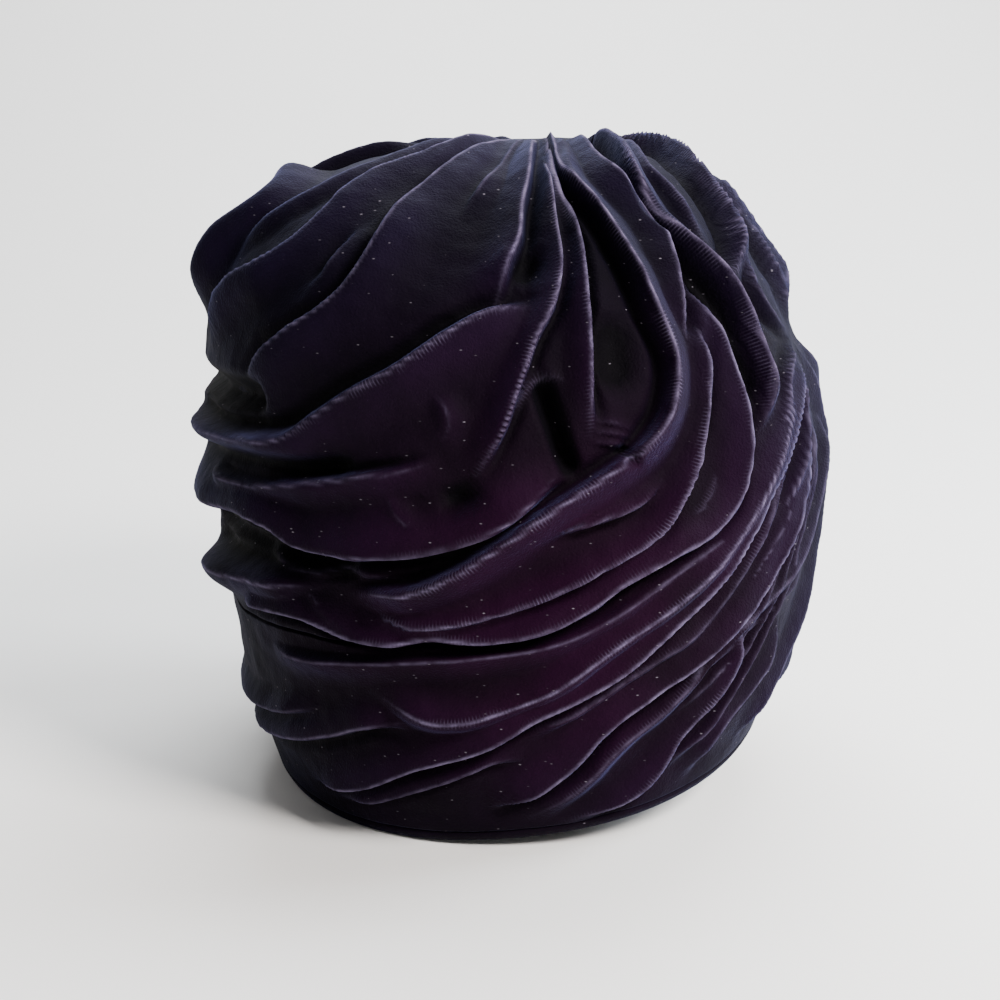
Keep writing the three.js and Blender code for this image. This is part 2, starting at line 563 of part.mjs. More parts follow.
// The rolled rim: a rounded section carried round the opening.
function rollPiece(name, azimuths) {
  const positions = [];
  const index = [];
  for (let k = 0; k < ROLL_FACETS; k++) {
    const angle = 2 * Math.PI * k / ROLL_FACETS;
    const level = lerp(RIM_LEVEL, ROLL_TOP_LEVEL, 0.5 - 0.5 * Math.cos(angle));
    const out = (Math.sin(angle) - 1) * WALL_AT_RIM / 2;
    azimuths.forEach((azimuth, i) => {
      positions.push(formPoint(azimuth, level).addScaledVector(formNormal(azimuth, level), out));
      const here = k * RIM_COLUMNS;
      const above = ((k + 1) % ROLL_FACETS) * RIM_COLUMNS;
      const next = (i + 1) % RIM_COLUMNS;
      index.push(here + i, here + next, above + next, here + i, above + next, above + i);
    });
  }
  return clothMesh(name, positions, index);
}

const rimAzimuths = Array.from({ length: RIM_COLUMNS }, (_, i) => -180 + 360 * i / RIM_COLUMNS);
const rimLevel = ROLL_TOP_LEVEL + PIECE_GAP / profile.getLength();
const rim = rimAzimuths.map((azimuth) => ({ azimuth, level: rimLevel }));
const valley = placesAlong(VALLEY_LINE, EDGE_STEP, true);

const group = new THREE.Group();
group.name = 'turban_headwrap';
group.add(rollPiece('rim_roll', rimAzimuths));
group.add(drapePiece('wrap_drape', rim, valley, false));
group.add(drapePiece('crown_drape', rim, valley, true));

export default group;
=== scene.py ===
"""Looks of a draped velvet turban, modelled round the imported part: crown drape, wrap drape, rim roll."""

import math

import bmesh
import bpy
import numpy as np
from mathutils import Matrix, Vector, noise


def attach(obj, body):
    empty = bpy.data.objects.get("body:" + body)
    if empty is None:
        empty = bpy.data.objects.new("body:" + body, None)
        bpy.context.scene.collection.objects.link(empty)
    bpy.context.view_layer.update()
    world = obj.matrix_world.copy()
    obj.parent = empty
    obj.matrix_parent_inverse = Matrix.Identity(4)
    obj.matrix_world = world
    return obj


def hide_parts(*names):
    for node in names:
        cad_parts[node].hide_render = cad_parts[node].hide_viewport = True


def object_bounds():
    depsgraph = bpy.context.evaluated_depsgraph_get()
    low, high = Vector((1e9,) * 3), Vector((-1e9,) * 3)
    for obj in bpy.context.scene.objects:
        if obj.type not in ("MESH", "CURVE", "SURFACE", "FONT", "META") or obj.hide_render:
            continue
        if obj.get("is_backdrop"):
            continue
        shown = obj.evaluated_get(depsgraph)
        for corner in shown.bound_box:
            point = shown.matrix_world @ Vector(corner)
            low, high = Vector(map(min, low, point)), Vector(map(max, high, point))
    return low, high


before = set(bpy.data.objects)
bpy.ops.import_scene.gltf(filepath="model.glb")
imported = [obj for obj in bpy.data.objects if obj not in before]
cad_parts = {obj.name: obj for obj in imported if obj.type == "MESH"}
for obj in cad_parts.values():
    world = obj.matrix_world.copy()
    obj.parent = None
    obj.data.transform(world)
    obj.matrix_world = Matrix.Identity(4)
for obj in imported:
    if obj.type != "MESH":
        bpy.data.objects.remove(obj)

bl_info = {
    "name": "Draped turban",
    "version": (1, 0, 0),
    "blender": (4, 5, 0),
    "location": "View3D > Sidebar > Turban",
    "description": "Models a draped velvet turban with its folds, pile and studio",
    "category": "Object",
}

# Plan sections of the smooth form under the folds, in millimetres.
SECTION_COLUMNS = ("height", "half_width", "half_depth", "centre_x", "centre_y")
SECTIONS = (
    (-10, 79, 95, 0, 0),
    (6, 90, 104, 0, 0),
    (26, 98, 111, 0, 0),
    (57, 104, 117, 0, 0),
    (94, 107.5, 120, -1, 0),
    (130, 105, 118, -5, 1),
    (158, 95, 110, -8, 2),
    (180, 78, 94, -7, 4),
    (194, 56, 71, -2, 5),
    (201, 31, 41, 5, 6),
    (203, 0, 0, 9, 6),
)
PLAN_POWER = 2.15
RIM_TILT_BACK = 0.11
RIM_TILT_RIGHT = 0.1
TILT_FADE_HEIGHT = 150.0

# The valley where the crown drape lies over the wrap drape, as (azimuth, level):
# degrees from the right of the picture, and share of the way from the rim to the top.
VALLEY_LINE = (
    (-150, 0.27), (-130, 0.28), (-121, 0.28), (-111, 0.284), (-97, 0.289), (-86, 0.296), (-79, 0.313),
    (-70, 0.343), (-65, 0.357), (-58, 0.376), (-53, 0.392), (-50, 0.415), (-48, 0.45), (-47, 0.5),
    (-46, 0.55), (-46.5, 0.6), (-48, 0.64), (-50, 0.675), (-52, 0.72), (-56, 0.79), (-60, 0.85),
    (-60, 0.89), (-45, 0.915), (-15, 0.9), (22, 0.83), (60, 0.7), (105, 0.52), (150, 0.35), (182, 0.28),
)

# How far the mesh's columns turn on the way from the rim to the top, in degrees.
COLUMN_TURN = 180.0

# What each vertex of the cloth keeps for the material.
FACTS = ("ridge", "teeth", "run", "height")

# Folds of the cloth. The steep side of a crest lies to the right on the way along it, seen from outside.
# Height, widths and valley depth in millimetres; teeth is how strongly the combed pile shows along the crest.
FOLD_COLUMNS = ("name", "height", "gentle", "steep", "valley", "teeth", "crest")
FOLDS = (
    ("nape hem", 4, 9, 3, 1, 0.2,
     ((-132, 0.085), (-120, 0.1), (-112, 0.12), (-104, 0.14), (-95, 0.16), (-86, 0.155))),
    ("left hem", 5, 10, 4, 2, 0.2,
     ((-162, 0.13), (-146, 0.14), (-134, 0.16), (-125, 0.18), (-117, 0.2), (-107, 0.2))),
    ("left step", 4, 8, 3, 1, 0,
     ((-176, 0.155), (-160, 0.158), (-144, 0.172), (-136, 0.187), (-126, 0.205))),
    ("second sweep", 6, 12, 3, 2, 0.2,
     ((-138, 0.095), (-123, 0.12), (-110, 0.155), (-98, 0.18), (-88, 0.21), (-78, 0.24), (-68, 0.28),
      (-59, 0.32), (-50, 0.37), (-44, 0.41), (-37, 0.46), (-28, 0.51), (-21, 0.545))),
    ("first sweep", 6, 11, 9, 0, 0.6,
     ((-118, 0.235), (-110, 0.22), (-103, 0.212), (-96, 0.217), (-86, 0.238), (-76, 0.277),
      (-66, 0.313), (-56, 0.355), (-49, 0.392), (-40, 0.455), (-29, 0.525))),
    ("wrap edge", 4, 10, 3, 0, 0.1,
     ((-47, 0.415), (-53, 0.378), (-61, 0.355), (-68, 0.333), (-78, 0.3), (-86, 0.284), (-97, 0.277),
      (-108, 0.27), (-119, 0.263), (-128, 0.256), (-142, 0.25))),
    ("sweep under the second", 3.5, 6, 5, 0, 0.6,
     ((-92, 0.185), (-86, 0.197), (-76, 0.226), (-68, 0.255), (-58, 0.28), (-52, 0.318), (-45, 0.375),
      (-41, 0.41), (-34, 0.465), (-26, 0.52))),
    ("deep nape sweep", 6, 13, 4, 4, 0.2,
     ((-98, 0.095), (-92, 0.108), (-82, 0.145), (-75, 0.195), (-67, 0.222), (-60, 0.243), (-52, 0.275),
      (-42, 0.33), (-34, 0.4), (-26, 0.48))),
    ("below the deep sweep", 4, 7, 7, 0, 0.6,
     ((-91, 0.065), (-79, 0.115), (-72, 0.163), (-61, 0.208), (-54, 0.248), (-40, 0.283), (-28, 0.32),
      (-18, 0.4), (-15, 0.48))),
    ("fine sweep", 2.5, 4, 3, 0, 0.1,
     ((-69, 0.165), (-59, 0.213), (-52, 0.24), (-36, 0.268), (-22, 0.3))),
    ("toothed pocket", 5, 8, 4, 2, 1,
     ((-84, 0.06), (-70, 0.085), (-64, 0.115), (-60, 0.155), (-53, 0.195), (-50, 0.23), (-49, 0.258),
      (-44, 0.285))),
    ("right hem", 4, 8, 5, 1, 0.1,
     ((-57, 0.07), (-53, 0.1), (-50, 0.14), (-42, 0.168), (-37, 0.205), (-36, 0.26))),
    ("right edge sweep", 4, 10, 6, 0, 0,
     ((-42, 0.08), (-33, 0.13), (-25, 0.19), (-18, 0.26), (-14, 0.34), (-13, 0.42), (-16, 0.5),
      (-20, 0.54))),
    ("right far sweep", 4, 12, 8, 0, 0,
     ((-28, 0.08), (-18, 0.14), (-8, 0.21), (-1, 0.3), (0, 0.4), (-6, 0.48), (-15, 0.54))),
    ("tack fold", 5, 7, 4, 1, 0.1,
     ((-20, 0.548), (-32, 0.517), (-36, 0.488), (-41, 0.462), (-46, 0.43))),
    ("tack fold low", 5, 7, 4, 1, 0.4,
     ((-20, 0.54), (-27, 0.495), (-31, 0.445), (-37, 0.4), (-44, 0.35))),
    ("crown edge", 6.5, 12, 3.5, 3, 0.5,
     ((-150, 0.29), (-136, 0.305), (-127, 0.307), (-120, 0.298), (-112, 0.297), (-105, 0.303),
      (-96, 0.302), (-88, 0.31), (-79, 0.33), (-74, 0.35), (-65, 0.373), (-58, 0.388), (-53, 0.413),
      (-51, 0.447), (-50, 0.49), (-50, 0.545), (-51.5, 0.605), (-53.5, 0.65))),
    ("long swirl", 6, 8, 3, 1.5, 1,
     ((-118, 0.325), (-112, 0.316), (-107, 0.312), (-100, 0.317), (-90, 0.333), (-80, 0.36),
      (-68, 0.393), (-64, 0.425), (-60, 0.46), (-57, 0.5), (-55.5, 0.53), (-54, 0.57), (-51.5, 0.625))),
    ("swirl crease", 2.5, 4, 2.5, 0, 0.6,
     ((-98, 0.308), (-88, 0.321), (-80, 0.343), (-72, 0.366), (-66, 0.384), (-60, 0.405), (-55, 0.44),
      (-53, 0.48))),
    ("ring of the eye", 8, 11, 4, 2, 1,
     ((-86, 0.96), (-79, 0.87), (-74, 0.795), (-66, 0.725), (-63, 0.665), (-61.5, 0.62), (-60, 0.565),
      (-61, 0.535), (-64, 0.5), (-68, 0.475), (-76, 0.447), (-84, 0.42), (-92, 0.39), (-100, 0.36),
      (-107, 0.342), (-113, 0.339), (-120, 0.332))),
    ("lip of the eye", 4, 6, 2.5, 1.5, 1,
     ((-90, 0.385), (-84, 0.4), (-76, 0.413), (-70, 0.424), (-66, 0.44), (-63, 0.46))),
    ("left roll", 7, 16, 4, 3, 0.3,
     ((-178, 0.385), (-153, 0.388), (-140, 0.398), (-132, 0.393), (-127, 0.38), (-121, 0.378),
      (-112, 0.385), (-104, 0.39), (-96, 0.405), (-90, 0.425), (-85, 0.445), (-80.5, 0.468))),
    ("left crease", 3, 5, 3, 0, 0.1,
     ((-144, 0.362), (-138, 0.355), (-132, 0.35), (-126, 0.351), (-118, 0.36), (-105, 0.35))),
    ("left twist", 3, 5, 2.5, 1, 0.3, ((-131, 0.345), (-126, 0.327), (-121, 0.31), (-116, 0.303))),
    ("left low lump", 8, 14, 7, 4, 0,
     ((-122, 0.334), (-128, 0.336), (-138, 0.33), (-152, 0.318), (-170, 0.31))),
    ("left overlap", 6, 16, 5, 3, 1,
     ((-79, 0.622), (-90, 0.61), (-98, 0.585), (-107, 0.55), (-115, 0.525), (-122, 0.5), (-128, 0.478),
      (-136, 0.47), (-152, 0.462), (-172, 0.46))),
    ("roll shoulder", 5, 10, 3, 2, 0.2,
     ((-100, 0.478), (-103, 0.468), (-109, 0.456), (-115, 0.449), (-127, 0.435), (-140, 0.424),
      (-158, 0.42))),
    ("pocket ring", 3.5, 9, 7, 1, 0.3,
     ((-92, 0.47), (-95, 0.435), (-100, 0.41), (-104, 0.404), (-108, 0.414), (-110, 0.432),
      (-108, 0.458))),
    ("pocket ridge", 2.5, 7, 6, 0, 0, ((-103, 0.545), (-99, 0.52), (-99, 0.5), (-102, 0.48))),
    ("gather far left", 4, 12, 4, 1, 0.1,
     ((-104, 0.965), (-99, 0.88), (-96, 0.815), (-97, 0.765), (-100, 0.72))),
    ("gather left", 6, 12, 3.5, 2, 0.5,
     ((-91, 0.6), (-90, 0.62), (-88, 0.665), (-86, 0.7), (-86, 0.74), (-86, 0.8), (-90, 0.88),
      (-96, 0.965))),
    ("gather middle", 6, 8, 3, 2, 0.9,
     ((-97, 0.445), (-92, 0.49), (-88, 0.535), (-84, 0.585), (-80, 0.625), (-78, 0.665), (-78, 0.705),
      (-79, 0.77), (-81, 0.83), (-84, 0.9), (-90, 0.97))),
    ("gather right", 6, 8, 3.5, 3, 0.9,
     ((-76.5, 0.48), (-76, 0.545), (-75, 0.58), (-74, 0.655), (-74, 0.71), (-77, 0.765), (-80, 0.83),
      (-83, 0.9))),
    ("eye arc", 3, 5, 3, 0, 0.8, ((-90, 0.5), (-87, 0.53), (-84, 0.548), (-80, 0.548), (-78, 0.535))),
    ("eye tooth high", 2, 2.5, 1.8, 0.5, 0, ((-78, 0.506), (-73, 0.504), (-68, 0.492))),
    ("eye tooth middle", 2, 2.5, 1.8, 0.5, 0, ((-78, 0.496), (-73, 0.494), (-68, 0.484))),
    ("eye tooth low", 2, 2.5, 1.8, 0.5, 0, ((-78, 0.486), (-73, 0.484), (-69, 0.477))),
    ("shoulder of the gather", 6, 10, 3.5, 3, 0.4,
     ((-56, 0.55), (-56, 0.62), (-55, 0.655), (-54, 0.72), (-61, 0.805), (-62, 0.88), (-54, 0.965))),
    ("right of the valley", 8, 12, 4, 4, 0.9,
     ((-30, 0.965), (-45, 0.88), (-52, 0.79), (-51, 0.72), (-47, 0.67), (-43, 0.63), (-41, 0.59),
      (-41, 0.545), (-41, 0.51), (-43, 0.48), (-45, 0.455))),
    ("valley crease", 2, 6, 5, 0, 0, ((-49, 0.475), (-48.5, 0.52), (-49, 0.555), (-51, 0.6))),
    ("bright tube", 8, 9, 5, 2, 1,
     ((6, 0.95), (6, 0.88), (-4, 0.83), (-19, 0.77), (-24, 0.725), (-28, 0.685), (-32, 0.655),
      (-36, 0.638), (-41, 0.638))),
    ("under the tube", 4, 6, 4, 1, 0.8,
     ((-10, 0.94), (-30, 0.87), (-40, 0.815), (-40, 0.765), (-40, 0.715), (-40, 0.66))),
    ("tack line", 5, 8, 5, 1, 0.1,
     ((18, 0.9), (10, 0.83), (0, 0.775), (-5, 0.72), (-8, 0.68), (-11, 0.635), (-14, 0.59),
      (-20, 0.548))),
    ("tack line left", 4, 6, 4, 1, 0.2,
     ((-27, 0.7), (-30, 0.645), (-31, 0.605), (-27, 0.573), (-20, 0.547))),
    ("right shoulder", 7, 14, 10, 0, 0,
     ((-16, 0.57), (-9, 0.605), (-5, 0.65), (-4, 0.69), (-1, 0.74), (8, 0.8))),
    ("left crown ridge", 6, 20, 5, 2, 0.1,
     ((-108, 0.965), (-109, 0.89), (-110, 0.81), (-112, 0.75), (-113, 0.69), (-116, 0.64),
      (-121, 0.605), (-128, 0.575), (-136, 0.54), (-141, 0.505))),
    ("left crown crease", 3, 8, 4, 1, 0.1, ((-121, 0.72), (-122, 0.69), (-124, 0.65), (-128, 0.62))),
    ("left crown fold", 6, 16, 5, 2, 0.4,
     ((-130, 0.97), (-124, 0.92), (-125, 0.84), (-131, 0.79), (-132, 0.72), (-135, 0.675),
      (-140, 0.645), (-148, 0.62), (-155, 0.585), (-160, 0.545))),
    ("left outer fold", 4, 9, 5, 1, 0.1,
     ((-160, 0.95), (-148, 0.84), (-147, 0.76), (-154, 0.695), (-164, 0.65))),
    ("left puff", 10, 14, 10, 0, 0,
     ((-190, 0.76), (-164, 0.72), (-167, 0.66), (-171, 0.61), (-182, 0.58))),
)

# Grooves between the folds.
GROOVE_COLUMNS = ("name", "depth", "half_width", "line")
GROOVES = (
    ("under the left puff", 8, 8, ((-132, 0.515), (-145, 0.507), (-165, 0.5), (-188, 0.5))),
    ("under the left overlap", 6, 6,
     ((-170, 0.44), (-150, 0.442), (-134, 0.45), (-124, 0.452), (-114, 0.463))),
    ("under the left roll", 7, 7, ((-114, 0.367), (-126, 0.362), (-140, 0.36), (-172, 0.355))),
    ("pocket hole", 4, 7, ((-104, 0.425), (-98, 0.437), (-94, 0.455))),
    ("slit in the eye", 7, 5, ((-84, 0.565), (-82, 0.505), (-79.5, 0.44))),
    ("hole in the eye", 6, 5, ((-73, 0.472), (-69, 0.468))),
    ("eye of the swirl", 4, 12, ((-68, 0.62), (-70, 0.57), (-70, 0.52))),
    ("right dark valley", 8, 5, ((-52, 0.69), (-48, 0.63), (-46, 0.57), (-46, 0.5), (-49, 0.44))),
    ("triangle by the gather", 4, 8, ((-83, 0.7), (-85, 0.635))),
)

# Folds that repeat, with the columns of the folds except the crest.
FINE_FOLD = ("fine", 3.4, 5, 3, 0.5, 0.1)
SWEEP_FOLD = ("sweep", 5, 15, 4, 1, 0.1)
GATHER_FOLD = ("gather", 5, 12, 6, 2, 0.1)

# Courses of the fans below the right tack; the step is in level, from one sweep to the next below.
FAN_COLUMNS = ("azimuth", "level", "step")
FINE_COUNT = 5
FINE_COURSE = (
    (-21, 0.515, 0.006),
    (-30, 0.445, 0.02),
    (-40, 0.37, 0.03),
    (-52, 0.295, 0.036),
    (-64, 0.235, 0.034),
)
SWEEP_COUNT = 6
SWEEP_COURSE = (
    (8, 0.535, 0.03),
    (50, 0.525, 0.05),
    (100, 0.47, 0.058),
    (178, 0.4, 0.055),
)

# Plain gathers under the top on the far side.
GATHER_COUNT = 5
GATHER_START = 30
GATHER_STEP = 32
GATHER_TURN = 14
GATHER_LOW = 0.66
GATHER_HIGH = 0.88

MM = 0.001

# Samples of curves. Along a curve, DEGREES_PER_LEVEL of azimuth weigh as much as the whole way up.
DEGREES_PER_LEVEL = 180.0
SECTION_STEPS = 200
LINE_STEPS = 60
VALLEY_STEPS = 80
SAMPLE_STEP = 1.5
POINTS_AT_ONCE = 4000
NORMAL_TURN = 0.5
NORMAL_RISE = 0.003
NORMAL_TOP_RISES = 4.0

# Shape of the folds, in millimetres, shares and levels.
FOLD_TAPER = 24.0
GROOVE_TAPER = 12.0
LEAN = 0.22
LEAN_STEEP = 4.0
TOP_FADE = 0.14
# Widths of the painted highlight along a crest and of the real combed teeth, and the crest height that gets
# the full painted highlight.
CREST_HALF_WIDTH = 1.2
COMB_HALF_WIDTH = 2.0
FULL_CREST_HEIGHT = 6.0
LEFT_AZIMUTH = -160.0
LEFT_SOFT_SPAN = (15.0, 50.0)
FOLDS_START = (0.04, 0.11)
FULL_WALL_LEVEL = 0.3
UNEVEN_COLUMNS = ("share", "length", "shift")
UNEVEN_WAVES = ((0.1, 7.3, 1.0), (0.08, 17.1, 2.0))
WRINKLE_COLUMNS = ("height", "length")
WRINKLES = ((0.7, 16.0), (0.3, 6.0))

# Layout of the meshes.
BACK_START = -210.0
BACK_SPAN = 230.0
CROWN_ROW_POWER = 1.15
RIM_COLUMNS = 401
RIM_ROWS = 33
ROLL_POWER = 0.6
WELD = 1e-6

# The velvet. A grain is (scale per metre, detail); a range is (from low, from high, to low, to high).
PILE_ROUGHNESS = 0.75
PILE_SPECULAR = 0.05
SHEEN_ROUGHNESS = 0.35
SHEEN_WEIGHT = 0.3
COMB_PITCH = 1.1
COMB_RANGE = (-0.2, 1.0, 0.0, 1.0)
COMB_SHARE = 0.5
COMB_BUMP = 0.2
PATCH_GRAIN = (90.0, 2.0)
PATCH_RANGE = (0.42, 0.62, 0.0, 1.0)
# Painted highlight along the crests: a grain breaks it up and the power narrows it.
CREST_GRAIN = (220.0, 2.0)
CREST_RANGE = (0.35, 0.65, 0.25, 0.8)
CREST_POWER = 2.0
# Painted shade: relief height in millimetres to the share of lit pile and sheen, darkest deep in the valleys.
VALLEY_SHADE_RANGE = (-2.5, 4.5, 0.06, 1.0)
SHADE_GRAIN = (28.0, 3.0)
SHADE_RANGE = (0.3, 0.7, 0.55, 1.45)
# Painted light: the middle of the back painted as lit, in metres, and the distances over which it turns to
# the painted shade of the sides.
LIT_MIDDLE = (0.01, -0.11, 0.07)
LIT_FALLOFF_RANGE = (0.03, 0.12, 0.0, 1.0)
LINT_SCALE = 190.0
LINT_STRETCH = (1.0, 1.0, 2.6)
LINT_SIZE_RANGE = (0.03, 0.1, 1.0, 0.0)
LINT_CHOICE_RANGE = (0.3, 0.95, 0.0, 0.9)
NAP_GRAIN = (1400.0, 3.0)
NAP_BUMP = 0.5
CREASE_GRAIN = (160.0, 4.0)
BUMP_STRENGTH = 0.9
BUMP_DISTANCE = 0.0006

# The studio, in metres and watts.
FLOOR_HALF = 3.0
FLOOR_ROWS = 60
FLOOR_ROUGHNESS = 0.7
WORLD_COLOUR = (0.95, 0.95, 1.0, 1.0)
WORLD_STRENGTH = 0.22
LIGHT_TARGET = (0.0, 0.0, 0.1)
LIGHT_COLUMNS = ("name", "place", "size", "power", "colour")
LIGHTS = (
    ("key", (0.6, -0.6, 0.75), 0.35, 26.0, (1.0, 0.96, 0.95)),
    ("side", (0.95, 0.25, 0.5), 0.5, 22.0, (0.86, 0.92, 1.0)),
    ("back", (0.1, 0.75, 1.3), 1.2, 44.0, (0.90, 0.94, 1.0)),
)
SENSOR_WIDTH = 36.0
CLIP_START = 0.01


def catmull_rom(points, count):
    """Points along a centripetal curve through the given points, `count` steps to each stretch."""
    points = np.asarray(points, float)
    ends = np.vstack([2 * points[0] - points[1], points, 2 * points[-1] - points[-2]])
    knots = np.concatenate([[0.0], np.cumsum(np.linalg.norm(np.diff(ends, axis=0), axis=1) ** 0.5)])
    rows = []
    for i in range(len(points) - 1):
        p0, p1, p2, p3 = ends[i : i + 4]
        k0, k1, k2, k3 = knots[i : i + 4]
        k = np.linspace(k1, k2, count, endpoint=False)[:, None]
        a1 = (k1 - k) / (k1 - k0) * p0 + (k - k0) / (k1 - k0) * p1
        a2 = (k2 - k) / (k2 - k1) * p1 + (k - k1) / (k2 - k1) * p2
        a3 = (k3 - k) / (k3 - k2) * p2 + (k - k2) / (k3 - k2) * p3
        b1 = (k2 - k) / (k2 - k0) * a1 + (k - k0) / (k2 - k0) * a2
        b2 = (k3 - k) / (k3 - k1) * a2 + (k - k1) / (k3 - k1) * a3
        rows.append((k2 - k) / (k2 - k1) * b1 + (k - k1) / (k2 - k1) * b2)
    rows.append(points[-1:])
    return np.vstack(rows)


def smoothstep(x, low, high):
    """0 below low and 1 above high, with a smooth step between."""
    t = np.clip((x - low) / (high - low), 0.0, 1.0)
    return t * t * (3.0 - 2.0 * t)


def bump(ratio):
    """1 in the middle and 0 at one width from it, rounded."""
    return 0.5 + 0.5 * np.cos(np.pi * np.minimum(np.abs(ratio), 1.0))


def sail(ratio):
    """1 at the crest and 0 at one width from it, with an edge at the crest."""
    return 0.5 * bump(ratio) + 0.5 * (1.0 - np.minimum(np.abs(ratio), 1.0)) ** 2


def lengths_along(points):
    """Length along a row of points, from 0 at the first."""
    return np.concatenate([[0.0], np.cumsum(np.linalg.norm(np.diff(points, axis=0), axis=1))])


def surface_curve(points, count):
    """Azimuths and levels along a smooth curve through places on the form."""
    fine = catmull_rom([(azimuth / DEGREES_PER_LEVEL, level) for azimuth, level in points], count)
    return fine[:, 0] * DEGREES_PER_LEVEL, fine[:, 1]


class Form:
    """The smooth form under the folds, in millimetres, by azimuth in degrees and level from 0 to 1."""

    def __init__(self):
        table = dict(zip(SECTION_COLUMNS, np.array(SECTIONS, float).T))
        outline = np.column_stack([table["half_width"], table["height"]])
        breadth = np.column_stack([table["half_depth"], table["centre_x"], table["centre_y"]])
        outline = catmull_rom(outline, SECTION_STEPS)
        breadth = catmull_rom(breadth, SECTION_STEPS)
        run = lengths_along(outline)
        self.length = run[-1]
        self.levels = run / run[-1]
        self.rows = np.column_stack([outline, breadth])

    def point(self, azimuth, level):
        """Places on the form."""
        level = np.clip(level, 0.0, 1.0)
        width, height, depth, centre_x, centre_y = (np.interp(level, self.levels, c) for c in self.rows.T)
        cos = np.cos(np.radians(azimuth))
        sin = np.sin(np.radians(azimuth))
        reach = (np.abs(cos) ** PLAN_POWER + np.abs(sin) ** PLAN_POWER) ** (-1.0 / PLAN_POWER)
        x = width * cos * reach + centre_x
        y = depth * sin * reach + centre_y
        tilt = 1.0 - np.clip(height / TILT_FADE_HEIGHT, 0.0, 1.0)
        return np.stack([x, y, height + tilt * (RIM_TILT_BACK * y + RIM_TILT_RIGHT * x)], axis=-1)

    def normal(self, azimuth, level):
        """Outward directions of the form."""
        level = np.clip(level, NORMAL_RISE, 1.0 - NORMAL_TOP_RISES * NORMAL_RISE)
        across = self.point(azimuth + NORMAL_TURN, level) - self.point(azimuth - NORMAL_TURN, level)
        up = self.point(azimuth, level + NORMAL_RISE) - self.point(azimuth, level - NORMAL_RISE)
        normal = np.cross(across, up)
        return normal / np.linalg.norm(normal, axis=-1, keepdims=True)


FORM = Form()


class SurfaceLine:
    """A line on the form: samples a step apart, with the direction along it and to the right of it."""

    def __init__(self, points, taper):
        fine_azimuth, fine_level = surface_curve(points, LINE_STEPS)
        run = lengths_along(FORM.point(fine_azimuth, fine_level))
        self.run = np.linspace(0.0, run[-1], max(3, int(run[-1] / SAMPLE_STEP)))
        azimuth = np.interp(self.run, run, fine_azimuth)
        level = np.interp(self.run, run, fine_level)
        self.spots = FORM.point(azimuth, level)
        ahead = np.gradient(self.spots, axis=0)
        self.ahead = ahead / np.linalg.norm(ahead, axis=1, keepdims=True)
        self.right = np.cross(self.ahead, FORM.normal(azimuth, level))
        taper = min(taper, self.run[-1] / 2.0)
        self.fade = smoothstep(self.run, 0.0, taper) * smoothstep(self.run[-1] - self.run, 0.0, taper)

    def near(self, points, reach):
        """Points within reach: index, distance, side, run along the line, fade and direction to the right."""
        low = self.spots.min(axis=0) - reach
        high = self.spots.max(axis=0) + reach
        found = np.flatnonzero(np.all((points > low) & (points < high), axis=1))
        parts = []
        for chunk in np.array_split(found, max(1, len(found) // POINTS_AT_ONCE)):
            gaps = points[chunk, None, :] - self.spots[None, :, :]
            best = np.argmin(np.einsum("ijk,ijk->ij", gaps, gaps), axis=1)
            gap = gaps[np.arange(len(chunk)), best]
            side = np.einsum("ij,ij->i", gap, self.right[best])
            along = np.einsum("ij,ij->i", gap, self.ahead[best])
            past = np.where((best == 0) | (best == len(self.run) - 1), along, 0.0)
            run = self.run[best] + along
            parts.append((chunk, np.hypot(side, past), side, run, self.fade[best], self.right[best]))
        columns = [np.concatenate(column) for column in zip(*parts)]
        close = columns[1] < reach
        return [column[close] for column in columns]


def fan(course, number):
    """The crest of one sweep of a fan, counted downward."""
    places = [dict(zip(FAN_COLUMNS, row)) for row in course]
    return [(place["azimuth"], place["level"] - place["step"] * number) for place in places]


def repeated_folds():
    """Fine folds of the right side, plain sweeps round the far side, and plain gathers under the top."""
    folds = [(*FINE_FOLD, fan(FINE_COURSE, i)) for i in range(FINE_COUNT)]
    folds += [(*SWEEP_FOLD, fan(SWEEP_COURSE, i)) for i in range(SWEEP_COUNT)]
    for i in range(GATHER_COUNT):
        azimuth = GATHER_START + GATHER_STEP * i
        folds.append((*GATHER_FOLD, ((azimuth + GATHER_TURN, GATHER_LOW), (azimuth, GATHER_HIGH))))
    return folds


def uneven(run, number):
    """Slow changes of a fold's height along its crest, about 1."""
    waves = [dict(zip(UNEVEN_COLUMNS, row)) for row in UNEVEN_WAVES]
    return sum((w["share"] * np.sin(run / w["length"] + w["shift"] * number) for w in waves), 1.0)


